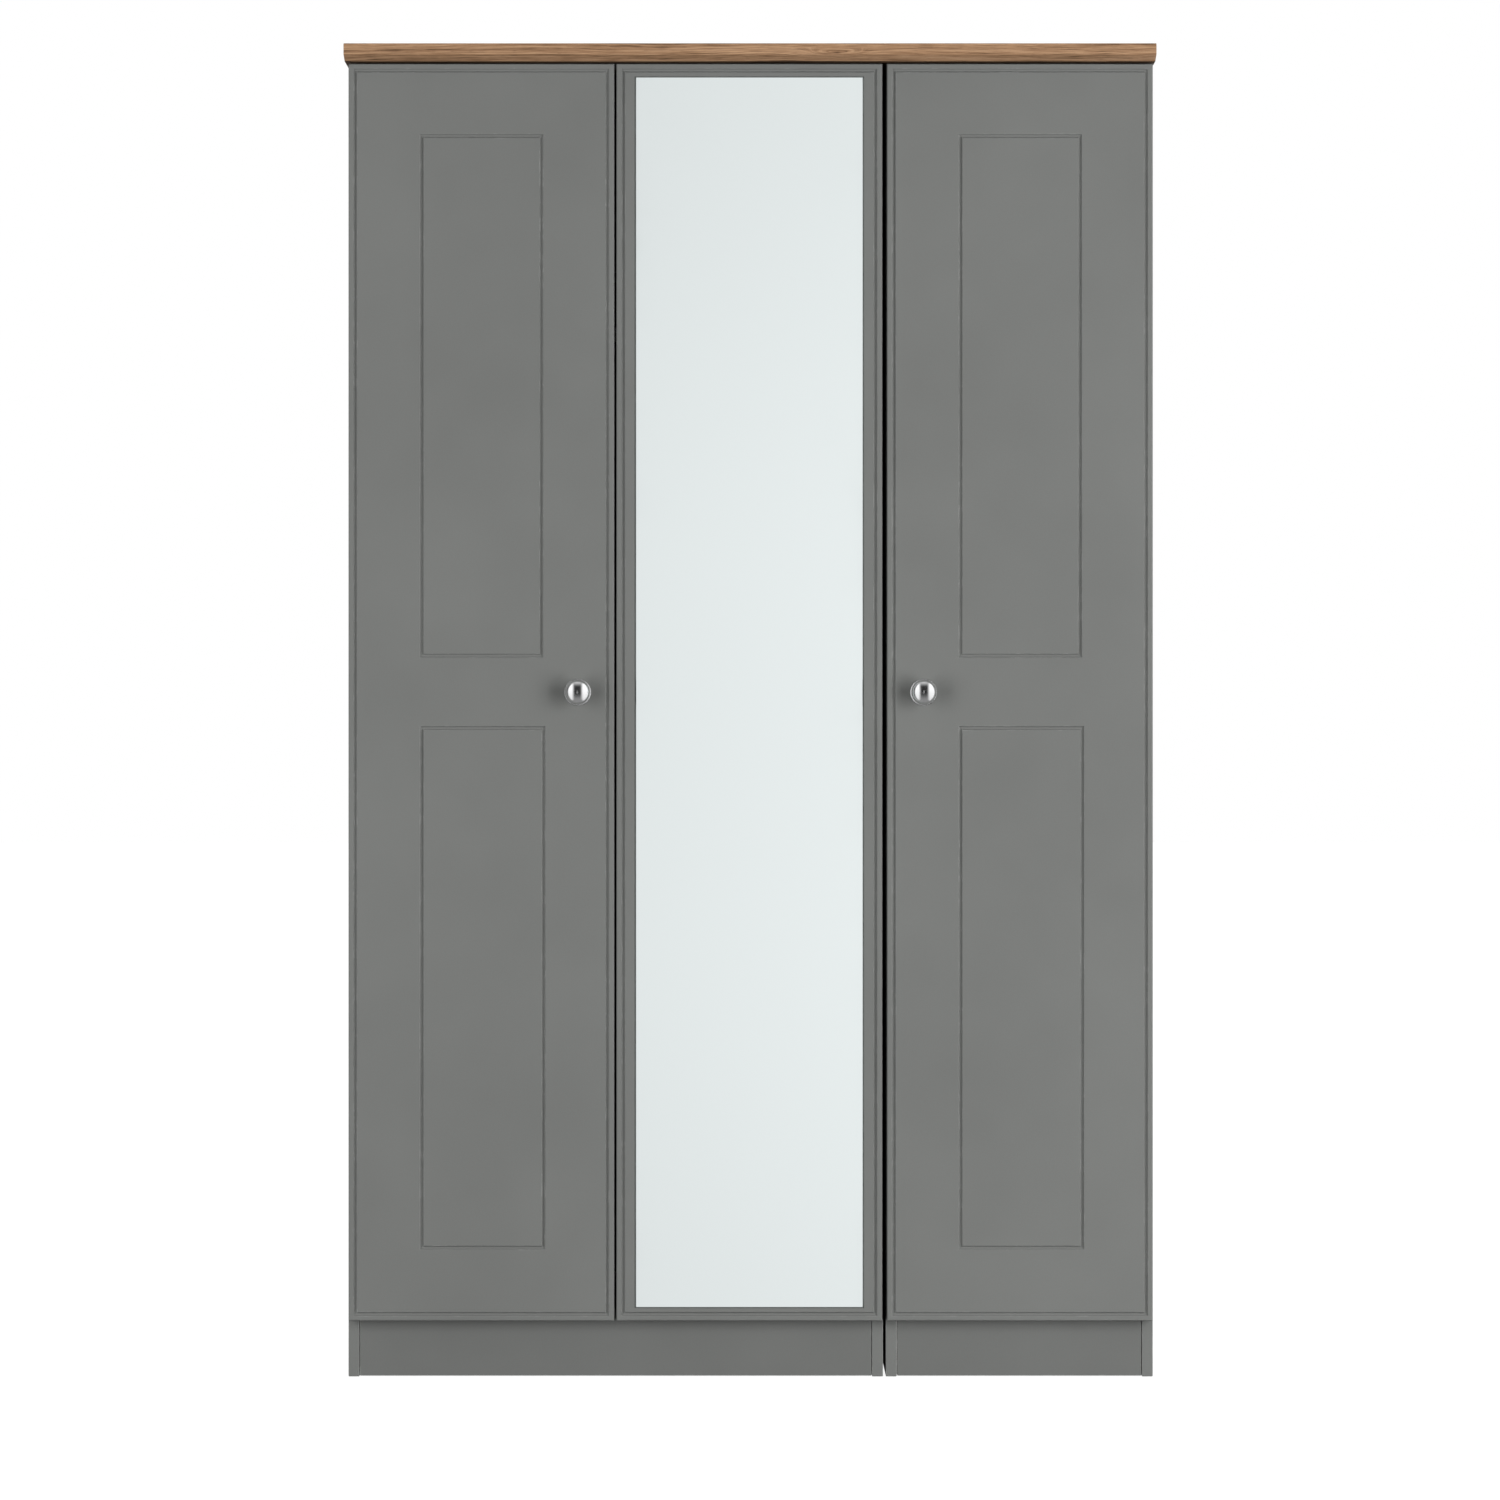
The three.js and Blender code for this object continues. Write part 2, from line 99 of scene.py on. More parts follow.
class Shader:
    """One procedural material: a Principled surface and the nodes that feed it."""

    def __init__(self, name, color, roughness, metallic=0.0, **constants):
        self.material = bpy.data.materials.new(name)
        self.material.use_nodes = True
        self.tree = self.material.node_tree
        self.surface = self.tree.nodes["Principled BSDF"]
        self.surface.inputs["Base Color"].default_value = (*color, 1)
        self.surface.inputs["Roughness"].default_value = roughness
        self.surface.inputs["Metallic"].default_value = metallic
        for key, value in constants.items():
            self.surface.inputs[key.replace("_", " ")].default_value = value
        self.material.diffuse_color = (*color, 1)
        self.coords = self.tree.nodes.new("ShaderNodeTexCoord").outputs["Object"]

    def node(self, kind, inputs=(), out=0, **settings):
        return add_node(self.tree, kind, inputs, out, **settings)

    def link(self, socket, name):
        self.tree.links.new(socket, self.surface.inputs[name])

    def mapped(self, scale, offset=(0, 0, 0)):
        return self.node("ShaderNodeMapping", {"Vector": self.coords, "Scale": scale, "Location": offset})

    def noise(self, vector, scale=1.0, detail=3.0, rough=0.5, distortion=0.0):
        return self.node("ShaderNodeTexNoise", {
            "Vector": vector, "Scale": scale, "Detail": detail, "Roughness": rough, "Distortion": distortion})

    def math(self, op, a, b=0.0, c=0.0):
        return self.node("ShaderNodeMath", {0: a, 1: b, 2: c}, operation=op)

    def remap(self, value, a, b, c, d, smooth=False):
        kind = "SMOOTHSTEP" if smooth else "LINEAR"
        return self.node("ShaderNodeMapRange", {
            "Value": value, "From Min": a, "From Max": b, "To Min": c, "To Max": d},
            interpolation_type=kind)

    def mix(self, factor, a, b, blend="MIX"):
        n = self.tree.nodes.new("ShaderNodeMix")
        n.data_type = "RGBA"
        n.blend_type = blend
        for index, value in ((0, factor), (6, a), (7, b)):
            if isinstance(value, bpy.types.NodeSocket):
                self.tree.links.new(value, n.inputs[index])
            else:
                n.inputs[index].default_value = value if index == 0 else (*value, 1)
        return n.outputs[2]

    def toned(self, color, tone):
        """The colour made lighter or darker by a grey value."""
        shade = self.node("ShaderNodeCombineColor", {0: tone, 1: tone, 2: tone})
        return self.mix(1.0, color, shade, "MULTIPLY")

    def ramp(self, value, stops):
        n = self.tree.nodes.new("ShaderNodeValToRGB")
        self.tree.links.new(value, n.inputs[0])
        ramp = n.color_ramp
        while len(ramp.elements) < len(stops):
            ramp.elements.new(0.5)
        for element, (position, color) in zip(ramp.elements, stops):
            element.position = position
            element.color = (*color, 1)
        return n.outputs[0]

    def bump(self, height, strength, distance, normal=None):
        inputs = {"Height": height, "Strength": strength, "Distance": distance}
        if normal is not None:
            inputs["Normal"] = normal
        return self.node("ShaderNodeBump", inputs)


# ------------------------------------------------------------------ materials
def grey_foil(name, color, rubbed):
    """Matt grey foil over board: a fine pebble emboss, faint clouding, edges rubbed a little paler."""
    s = Shader(name, color, 0.5, Specular_IOR_Level=0.42)
    cloud = s.noise(s.coords, 3.5, 3, 0.55)
    tone = s.remap(cloud, 0.3, 0.7, 0.955, 1.045)
    speck = s.remap(s.noise(s.coords, 700, 2, 0.5), 0.3, 0.7, 0.975, 1.025)
    tone = s.math("MULTIPLY", tone, speck)
    base = tuple(color)
    if rubbed:
        wear = s.remap(s.noise(s.coords, 55, 4, 0.65), 0.5, 0.66, 0.0, 1.0, True)
        base = s.mix(wear, color, tuple(min(1, c * 1.35 + 0.012) for c in color))
    s.link(s.toned(base, tone), "Base Color")
    s.link(s.remap(s.noise(s.coords, 14, 4, 0.6), 0.3, 0.7, 0.44, 0.56), "Roughness")
    pebble = s.noise(s.coords, 1500, 2, 0.6)
    wave = s.noise(s.coords, 9, 2, 0.5)
    s.link(s.bump(pebble, 0.18, 0.00008, s.bump(wave, 0.05, 0.0006)), "Normal")
    return s.material


def oak_laminate(name="oak_laminate", tone=1.0):
    """Oak-effect laminate: contour-line grain that wanders along the board and closes round a few knots."""
    s = Shader(name, (0.36, 0.22, 0.125), 0.45, Specular_IOR_Level=0.4)
    x, y, z = s.node("ShaderNodeSeparateXYZ", {0: s.coords}).node.outputs
    wander = s.noise(s.mapped((3.0, 7, 9)), 1.0, 3, 0.45)
    drift = s.noise(s.mapped((14, 30, 70), offset=(3, 1, 7)), 1.0, 2, 0.5)
    field = s.math("MULTIPLY", z, 640.0)
    field = s.math("MULTIPLY_ADD", y, 120.0, field)
    field = s.math("MULTIPLY_ADD", wander, 11.0, field)
    field = s.math("MULTIPLY_ADD", drift, 2.6, field)
    front, top = TOP_FRONT, TOP_Z
    dark = None
    # place, spread of the bent grain, lift of the contour lines, size of the dark core
    knots = [
        ((0.119, front, top - 0.0128), (0.045, 0.05, 0.0065), 8.0, (0.0060, 0.012, 0.0014)),
        ((0.103, front, top - 0.0137), (0.030, 0.03, 0.0040), 0.8, (0.0190, 0.012, 0.0004)),
        ((0.068, front, top - 0.0080), (0.030, 0.03, 0.0040), 0.8, (0.0120, 0.012, 0.0004)),
        ((-0.345, front + 0.21, top), (0.085, 0.030, 0.03), 9.0, (0.016, 0.005, 0.02)),
        ((0.395, front + 0.36, top), (0.070, 0.026, 0.03), 8.0, (0.012, 0.004, 0.02)),
        ((-0.06, front + 0.42, top), (0.060, 0.022, 0.03), 7.0, (0.010, 0.0035, 0.02)),
    ]

    def bell(centre, spread):
        total = None
        for axis, c, w in zip((x, y, z), centre, spread):
            d = s.math("MULTIPLY", s.math("SUBTRACT", axis, c), 1 / w)
            total = s.math("MULTIPLY", d, d) if total is None else s.math("MULTIPLY_ADD", d, d, total)
        return s.math("EXPONENT", s.math("MULTIPLY", total, -1.0))

    for centre, spread, lift, core in knots:
        field = s.math("MULTIPLY_ADD", bell(centre, spread), lift, field)
        spot = bell(centre, core)
        dark = spot if dark is None else s.math("MAXIMUM", dark, spot)
    place_on_line = {0: field, 1: s.math("MULTIPLY", x, 3.2), 2: s.math("MULTIPLY", y, 6.0)}
    rings = s.noise(s.node("ShaderNodeCombineXYZ", place_on_line), 0.85, 5, 0.72, 0.25)
    fine = s.noise(s.mapped((30, 520, 900)), 1.0, 3, 0.6)
    grain = s.math("ADD", s.math("MULTIPLY", rings, 0.62), s.math("MULTIPLY", fine, 0.38))
    color = s.ramp(grain, [
        (0.38, (0.105, 0.058, 0.031)),
        (0.455, (0.310, 0.177, 0.096)),
        (0.52, (0.425, 0.251, 0.141)),
        (0.585, (0.525, 0.328, 0.195)),
    ])
    patch = s.noise(s.mapped((1.8, 7, 12), offset=(5, 5, 5)), 1.0, 2, 0.5)
    # a tone below 1 gives a darker copy of the oak: painted shade, used on the top board's lower band and
    # underside
    color = s.toned(color, s.remap(patch, 0.3, 0.7, 0.92 * tone, 1.08 * tone))
    pores = s.noise(s.mapped((95, 1500, 2100)), 1.0, 1, 0.5)
    pore = s.remap(pores, 0.63, 0.70, 0.0, 1.0, True)
    color = s.mix(s.math("MULTIPLY", pore, 0.4), color, (0.12, 0.064, 0.034))
    color = s.mix(s.math("MULTIPLY", dark, 0.8), color, (0.085, 0.044, 0.024))
    s.link(color, "Base Color")
    s.link(s.remap(grain, 0.3, 0.7, 0.52, 0.40), "Roughness")
    relief = s.math("MULTIPLY_ADD", pore, -1.0, grain)
    s.link(s.bump(relief, 0.25, 0.0002), "Normal")
    return s.material


def chipboard():
    """Raw particleboard edge: pressed flakes of several browns."""
    s = Shader("chipboard", (0.42, 0.30, 0.18), 0.85, Specular_IOR_Level=0.2)
    flakes = s.node("ShaderNodeTexVoronoi", {"Vector": s.coords, "Scale": 720.0, "Randomness": 1.0}, out=1)
    value = s.node("ShaderNodeSeparateColor", {0: flakes})
    dust = s.noise(s.coords, 1300, 3, 0.7)
    mixed = s.math("ADD", s.math("MULTIPLY", value, 0.55), s.math("MULTIPLY", dust, 0.45))
    s.link(s.ramp(mixed, [
        (0.2, (0.25, 0.16, 0.085)), (0.5, (0.46, 0.33, 0.20)), (0.8, (0.68, 0.54, 0.37))]), "Base Color")
    s.link(s.bump(mixed, 0.6, 0.0006), "Normal")
    return s.material


def hardboard_rear():
    """Rough brown side of hardboard with the woven screen mark."""
    s = Shader("hardboard_rear", (0.20, 0.125, 0.075), 0.8, Specular_IOR_Level=0.25)
    waves = []
    for direction in ("X", "Z"):
        waves.append(s.node("ShaderNodeTexWave", {
            "Vector": s.coords, "Scale": 90.0, "Distortion": 1.2, "Detail": 1.0}, out=1,
            wave_type="BANDS", bands_direction=direction))
    screen = s.math("MULTIPLY", waves[0], waves[1])
    fibre = s.noise(s.mapped((160, 160, 160)), 1.0, 5, 0.7)
    tone = s.math("ADD", s.math("MULTIPLY", screen, 0.25), s.math("MULTIPLY", fibre, 0.75))
    s.link(s.ramp(tone, [
        (0.2, (0.11, 0.062, 0.034)), (0.5, (0.205, 0.125, 0.07)), (0.8, (0.30, 0.195, 0.115))]), "Base Color")
    s.link(s.bump(tone, 0.5, 0.0004), "Normal")
    return s.material


def metal(name, color, roughness, scratch, bump_distance, metallic=1.0):
    """Plated metal with faint handling marks."""
    s = Shader(name, color, roughness, metallic)
    haze = s.noise(s.coords, 40, 4, 0.6)
    s.link(s.remap(haze, 0.3, 0.7, roughness * 0.75, roughness * 1.35), "Roughness")
    hairline = s.noise(s.mapped((60, 60, 1400)), 1.0, 2, 0.5)
    tint = s.remap(haze, 0.3, 0.7, 0.95, 1.03)
    s.link(s.toned(color, tint), "Base Color")
    s.link(s.bump(hairline, scratch, bump_distance), "Normal")
    return s.material


def plastic(name, color, roughness):
    """Moulded plastic with a spark-eroded texture."""
    s = Shader(name, color, roughness, Specular_IOR_Level=0.5)
    grain = s.noise(s.coords, 1900, 2, 0.5)
    tone = s.remap(s.noise(s.coords, 60, 3, 0.5), 0.3, 0.7, 0.95, 1.05)
    s.link(s.toned(color, tone), "Base Color")
    s.link(s.remap(s.noise(s.coords, 90, 3, 0.5), 0.3, 0.7, roughness - 0.06, roughness + 0.06), "Roughness")
    s.link(s.bump(grain, 0.15, 0.00006), "Normal")
    return s.material


def silvered():
    """Silvered glass: a clean cool reflection with the faintest roller wave."""
    s = Shader("silvered_glass", (0.79, 0.84, 0.84), 0.012, 1.0)
    wave = s.noise(s.mapped((1.2, 1.2, 0.7)), 1.0, 1, 0.5)
    s.link(s.bump(wave, 0.02, 0.0004), "Normal")
    film = s.noise(s.coords, 6, 3, 0.6)
    s.link(s.remap(film, 0.35, 0.75, 0.008, 0.03), "Roughness")
    return s.material


TOP_FRONT = lo("top_board").y
TOP_Z = hi("top_board").z
GREY = (0.188, 0.193, 0.186)
MAT = {
    "grey": grey_foil("grey_foil", GREY, False),
    # darker copy of the grey foil for the plinth: painted shade under the doors
    "grey_plinth_painted_shade": grey_foil("grey_foil_plinth_painted_shade", tuple(c * 0.88 for c in GREY), False),
    # edge copy of the grey foil: rubbed paler in patches (wear) and 10% lighter all over, a painted highlight
    # on the rounded edges
    "grey_edge_wear_and_highlight": grey_foil("grey_foil_edge_wear_and_highlight", tuple(c * 1.1 for c in GREY), True),
    "oak": oak_laminate(),
    # darker copy of the oak for the top board's lower band: painted shade
    "oak_band_painted_shade": oak_laminate("oak_laminate_band_painted_shade", 0.64),
    # much darker copy of the oak for the board's underside: painted shade under the overhang
    "oak_under_painted_shade": oak_laminate("oak_laminate_underside_painted_shade", 0.30),
    "chip": chipboard(),
    "board_front": grey_foil("back_sheet_front", (0.42, 0.425, 0.41), False),
    "board_rear": hardboard_rear(),
    "chrome": metal("chrome", (0.86, 0.865, 0.87), 0.12, 0.02, 0.00003),
    "knob_chrome": metal("knob_chrome", (0.86, 0.865, 0.87), 0.17, 0.02, 0.00003),
    "nickel": metal("nickel", (0.72, 0.71, 0.69), 0.30, 0.12, 0.00006, 0.65),
    # dark metal for the screws' cross recess: painted shade in the hollow
    "recess": metal("screw_recess_painted_shade", (0.16, 0.155, 0.15), 0.5, 0.1, 0.00005),
    "plastic": plastic("grey_plastic", (0.30, 0.305, 0.30), 0.42),
    "bumper": plastic("clear_bumper", (0.62, 0.64, 0.63), 0.25),
    "mirror": silvered(),
    "glass_edge": Shader("polished_glass_edge", (0.62, 0.78, 0.73), 0.12, 0.35,
                         Specular_IOR_Level=0.8, Coat_Weight=0.6).material,
    "mirror_paint": plastic("mirror_backing", (0.09, 0.095, 0.10), 0.6),
}


# ------------------------------------------------------------------ mesh helpers
def object_from(name, bm, body, slot, materials, replaces=()):
    mesh = bpy.data.meshes.new(name)
    bmesh.ops.recalc_face_normals(bm, faces=bm.faces)
    bm.to_mesh(mesh)
    bm.free()
    for key in materials:
        mesh.materials.append(MAT[key])
    return place(name, mesh, body, slot, replaces)


def place(name, mesh, body, slot, replaces=()):
    obj = bpy.data.objects.new(name, mesh)
    scene.collection.objects.link(obj)
    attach(obj, body)
    if replaces:
        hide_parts(*replaces)
    return obj


def apply_modifiers(obj):
    bpy.context.view_layer.update()
    graph = bpy.context.evaluated_depsgraph_get()
    mesh = bpy.data.meshes.new_from_object(obj.evaluated_get(graph))
    obj.modifiers.clear()
    obj.data = mesh


def dress(obj, width, segments=2, angle=32, edge_material=-1, sharp=50, cut=None):
    """Rounds the hard edges, optionally after cutting with another object, and evens the shading."""
    if cut is not None:
        boolean = obj.modifiers.new("cut", "BOOLEAN")
        boolean.operation = "DIFFERENCE"
        boolean.solver = "EXACT"
        boolean.object = cut
        apply_modifiers(obj)
        bpy.data.objects.remove(cut)
    if width:
        bevel = obj.modifiers.new("round", "BEVEL")
        bevel.width = width
        bevel.segments = segments
        bevel.limit_method = "ANGLE"
        bevel.angle_limit = math.radians(angle)
        bevel.material = edge_material
        bevel.use_clamp_overlap = True
        apply_modifiers(obj)
    obj.data.shade_smooth()
    obj.data.set_sharp_from_angle(angle=math.radians(sharp))
    weighted = obj.modifiers.new("even", "WEIGHTED_NORMAL")
    weighted.keep_sharp = True
    apply_modifiers(obj)
    return obj


def cad_copy(node):
    """The CAD node's own shape with its flat faces merged, ready for finer work."""
    bm = bmesh.new()
    bm.from_mesh(frame["nodes"][node].data)
    bmesh.ops.remove_doubles(bm, verts=bm.verts, dist=2e-6)
    bmesh.ops.dissolve_limit(bm, angle_limit=math.radians(1), verts=bm.verts, edges=bm.edges)
    for face in bm.faces:
        face.material_index = 0
    return bm


def refine(node, slot, materials, width, pick=None, edge_material=-1, cut=None, segments=2, angle=32):
    """A CAD node carried over with rounded edges, a finish and, where asked, its own finish on some faces."""
    bm = cad_copy(node)
    if pick:
        for face in bm.faces:
            face.material_index = pick(face)
    body = frame["nodes"][node]["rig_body"]
    obj = object_from(f"{node}_finish", bm, body, slot, materials, (node,))
    return dress(obj, width, segments=segments, angle=angle, edge_material=edge_material, cut=cut)


def cutter(solids):
    """One object made of separate closed cylinders, each (centre, axis, radius, length, sides).

    The cylinders must not overlap: a cut with overlapping solids can leave nothing.
    """
    bm = bmesh.new()
    for centre, axis, radius, length, sides in solids:
        turn = Vector((0, 0, 1)).rotation_difference(Vector(axis)).to_matrix().to_4x4()
        matrix = Matrix.Translation(Vector(centre)) @ turn
        bmesh.ops.create_cone(bm, cap_ends=True, segments=sides, radius1=radius, radius2=radius,
                              depth=length, matrix=matrix)
    mesh = bpy.data.meshes.new("cutter")
    bm.to_mesh(mesh)
    bm.free()
    obj = bpy.data.objects.new("cutter", mesh)
    scene.collection.objects.link(obj)
    obj.hide_render = True
    return obj


def lathe(bm, profile, centre, axis, segments):
    """Turns (radius, distance along the axis) pairs about the axis through the centre."""
    turn = Vector((0, 0, 1)).rotation_difference(Vector(axis)).to_matrix()
    rings = []
    for radius, along in profile:
        if radius < 1e-9:
            rings.append([bm.verts.new(Vector(centre) + turn @ Vector((0, 0, along)))])
            continue
        ring = []
        for i in range(segments):
            a = 2 * math.pi * i / segments
            ring.append(bm.verts.new(
                Vector(centre) + turn @ Vector((radius * math.cos(a), radius * math.sin(a), along))))
        rings.append(ring)
    for a, b in zip(rings, rings[1:]):
        for i in range(segments):
            j = (i + 1) % segments
            corners = [a[i % len(a)], a[j % len(a)], b[j % len(b)], b[i % len(b)]]
            unique = list(dict.fromkeys(corners))
            if len(unique) >= 3:
                bm.faces.new(unique)


# ------------------------------------------------------------------ carcass boards
PIN_ROWS = (0.037, 0.421)                     # shelf-pin rows, behind a side panel's front edge
PIN_DROP = 0.0035                             # hole centre below the shelf
HOLE_PITCH, HOLE_RADIUS, HOLE_LENGTH = 0.032, 0.0026, 0.012
BACK_GROOVE = 0.4885                          # back-sheet groove, behind the base's front edge


def board_faces(raw):
    """Marks the faces whose normal points along one of the raw directions as bare chipboard."""
    def pick(face):
        return 2 if any(face.normal.dot(Vector(d)) > 0.9 for d in raw) else 0
    return pick


def pin_holes(unit, inner_x, front_y):
    """Two short rows of shelf-pin holes on a panel's inner face."""
    shelf_z = lo(f"{unit}_shelf").z
    middles = [(inner_x, front_y + row, shelf_z - PIN_DROP + HOLE_PITCH * k)
               for row in PIN_ROWS for k in range(-3, 4)]
    return cutter([(middle, (1, 0, 0), HOLE_RADIUS, HOLE_LENGTH, 14) for middle in middles])


for unit in UNITS:
    for tag, inward in (("left", 1), ("right", -1)):
        node = f"{unit}_side_{tag}"
        low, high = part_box(node)
        inner = high.x if inward > 0 else low.x
        groove_y = lo(f"{unit}_base").y + BACK_GROOVE

        def pick(face, inner=inner, groove_y=groove_y, high=high):
            n, c = face.normal, face.calc_center_median()
            if abs(n.z) > 0.9 or n.y > 0.9 or (n.y < -0.9 and c.y > groove_y):
                return 2
            if c.y > groove_y and c.y < high.y - 0.004 and abs(c.x - inner) > 0.001 and abs(n.x) > 0.9:
                return 2 if (c.y - groove_y) < 0.006 else 0
            return 0
        # bevels take the edge foil: rubbed wear plus a painted highlight
        refine(node, "grey_board", ["grey", "grey_edge_wear_and_highlight", "chip"], 0.0010, pick, 1,
               cut=pin_holes(unit, inner, low.y))
    raw_rear = board_faces([(0, 1, 0), (1, 0, 0), (-1, 0, 0)])
    raw_under = board_faces([(0, 0, -1), (1, 0, 0), (-1, 0, 0)])
    for part in ("base", "top_rail_front", "top_rail_back", "shelf"):
        refine(f"{unit}_{part}", "grey_board", ["grey", "grey_edge_wear_and_highlight", "chip"], 0.0005, raw_rear, 1)
    # the plinth's foil is darkened: painted shade under the doors' overhang
    refine(f"{unit}_plinth", "grey_board", ["grey_plinth_painted_shade", "grey_edge_wear_and_highlight", "chip"], 0.0011, raw_under, 1)


def sheet_faces(face):
    return 0 if face.normal.y < -0.9 else 1


for node in ("double_back_left", "double_back_right", "single_back"):
    refine(node, "hardboard", ["board_front", "board_rear"], 0.0003, sheet_faces)
refine("double_back_strip", "plastic", ["plastic"], 0.0002)


# ------------------------------------------------------------------ top board
def top_board():
    """Board with an eased upper edge; a lower band tucks in under the upright face, on three sides."""
    low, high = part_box("top_board")
    band, tuck, ease = 0.0098, 0.0014, 0.001
    # the lower band's oak is a darker copy: painted shade
    oak, chip, oak_band_painted_shade, oak_under_painted_shade = range(4)
    levels = [(tuck + 0.0008, low.z), (tuck + 0.0002, low.z + 0.0002), (tuck, low.z + 0.0009),
              (0.0001, low.z + band - 0.0003), (0, low.z + band + 0.0003)]
    for i in range(0, 6):
        a = math.pi / 2 * i / 5
        levels.append((ease * (1 - math.cos(a)), high.z - ease * (1 - math.sin(a))))
    bm = bmesh.new()
    rings = []
    for inset, z in levels:
        corners = [(low.x + inset, low.y + inset), (high.x - inset, low.y + inset),
                   (high.x - inset, high.y), (low.x + inset, high.y)]
        rings.append([bm.verts.new((x, y, z)) for x, y in corners])
    # the underside and the bottom rounding take a much darker copy of the oak: painted shade
    bm.faces.new(rings[0]).material_index = oak_under_painted_shade
    bm.faces.new(rings[-1])
    for k, (a, b) in enumerate(zip(rings, rings[1:])):
        for i in range(4):
            j = (i + 1) % 4
            face = bm.faces.new((a[i], a[j], b[j], b[i]))
            face.material_index = chip if i == 2 else oak_under_painted_shade if k < 2 else oak_band_painted_shade if k < 3 else oak
    obj = object_from("top_board_finish", bm, "carcass", "oak", ["oak", "chip", "oak_band_painted_shade", "oak_under_painted_shade"],
                      ("top_board",))
    dress(obj, 0, sharp=42)


top_board()


# ------------------------------------------------------------------ doors
# across a groove: offset in an upright run, offset in a level run, depth (mm)
GROOVE = [
    (-2.6, -2.9, 0.0), (-2.4, -2.5, 0.35), (-2.15, -1.95, 1.3), (-1.85, -1.4, 2.15), (-1.35, -0.75, 2.6),
    (1.35, 0.75, 2.6), (1.85, 1.4, 2.15), (2.15, 1.95, 1.3), (2.4, 2.5, 0.35), (2.6, 2.9, 0.0),
]
EDGE_GROOVE = 0.0094                          # centre of the groove that runs round the door's edge
PANEL_SIDE, PANEL_TALL = 0.1005, 0.710        # grooved panels: distance from the door's side, height
LOWER_WIDE, LOWER_FOOT = 0.16625, 0.100       # lower panel: width, distance from the door's bottom
UPPER_WIDE, UPPER_HEAD = 0.16325, 0.099       # upper panel: width, distance from the door's top
CUP_INSET, CUP_RADIUS, CUP_DEPTH = 0.0215, 0.0175, 0.0132
BORE_PROUD = 0.004                            # how far the bore's cutter stands out of the door's back
MIRROR_SPREAD = 0.0008                        # the glass covers this much more at each side
MIRROR_PLAY, MIRROR_RECESS = 0.00075, 0.0021


def door_finish(name, info):
    """Door slab with softened edges and mitred routed grooves, bored for its hinge cups."""
    node = f"{name}_door"
    low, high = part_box(node)
    w, h, t = high.x - low.x, high.z - low.z, high.y - low.y
    bm = bmesh.new()

    def ring(x0, x1, z0, z1, y):
        return [bm.verts.new((low.x + x, low.y + y, low.z + z))
                for x, z in ((x0, z0), (x1, z0), (x1, z1), (x0, z1))]

    def band(a, b):
        for i in range(4):
            j = (i + 1) % 4
            bm.faces.new((a[i], a[j], b[j], b[i]))

    # back face, rounded edges and the plain border outside the perimeter groove
    rings = []
    back_round, front_round = 0.002, 0.0025
    for i in range(0, 6):
        a = math.pi / 2 * i / 5
        d = back_round * (1 - math.sin(a))
        rings.append(ring(d, w - d, d, h - d, t - back_round * (1 - math.cos(a))))
    for i in range(0, 7):
        a = math.pi / 2 * i / 6
        d = front_round * (1 - math.cos(a))
        rings.append(ring(d, w - d, d, h - d, front_round * (1 - math.sin(a))))
    bm.faces.new(rings[0])
    for across, along, depth in GROOVE:
        d, e = EDGE_GROOVE + across * MM, EDGE_GROOVE + along * MM
        rings.append(ring(d, w - d, e, h - e, depth * MM))
    for a, b in zip(rings, rings[1:]):
        band(a, b)
    field = rings[-1]
    if info["knob"]:
        lower = (PANEL_SIDE, PANEL_SIDE + LOWER_WIDE, LOWER_FOOT, LOWER_FOOT + PANEL_TALL)
        upper = (PANEL_SIDE, PANEL_SIDE + UPPER_WIDE, h - UPPER_HEAD - PANEL_TALL, h - UPPER_HEAD)
        outers = []
        for x0, x1, z0, z1 in (lower, upper):
            loops = []
            for across, along, depth in GROOVE:
                d, e = across * MM, along * MM
                loops.append(ring(x0 + d, x1 - d, z0 + e, z1 - e, depth * MM))
            for a, b in zip(loops, loops[1:]):
                band(a, b)
            bm.faces.new(loops[-1])
            outers.append(loops[0])
        lo_ring, up_ring = outers
        bm.faces.new((field[0], field[1], lo_ring[1], lo_ring[0]))
        bm.faces.new((field[2], field[3], up_ring[3], up_ring[2]))
        bm.faces.new((lo_ring[3], lo_ring[2], up_ring[1], up_ring[0]))
        bm.faces.new((field[0], lo_ring[0], lo_ring[3], up_ring[0], up_ring[3], field[3]))
        bm.faces.new((field[1], field[2], up_ring[2], up_ring[1], lo_ring[2], lo_ring[1]))
    else:
        # shallow recess for the mirror
        gx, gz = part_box("mirror_glass")[0].xz - low.xz
        for inset, y in ((0.0, 0.0), (0.0001, 0.0002), (0.0002, MIRROR_RECESS)):
            d, e = gx - MIRROR_SPREAD - MIRROR_PLAY + inset, gz - MIRROR_PLAY + inset
            rings.append(ring(d, w - d, e, h - e, y))
            band(rings[-2], rings[-1])
        bm.faces.new(rings[-1])
    edge = low.x if info["side"] > 0 else high.x
    bores = []
    for height in HEIGHTS:
        cup_low, cup_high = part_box(f"{name}_hinge_{height}_cup")
        middle = (edge + info["side"] * CUP_INSET, high.y - CUP_DEPTH / 2 + BORE_PROUD / 2,
                  (cup_low.z + cup_high.z) / 2)
        bores.append((middle, (0, 1, 0), CUP_RADIUS, CUP_DEPTH + BORE_PROUD, 48))
    # the door's bevels take the edge foil: rubbed wear plus a painted highlight
    obj = object_from(f"{name}_door_finish", bm, info["body"], "grey_door", ["grey", "grey_edge_wear_and_highlight"], (node,))
    dress(obj, 0.00035, segments=2, angle=40, edge_material=1, sharp=60, cut=cutter(bores))


for name, info in DOORS.items():
    door_finish(name, info)


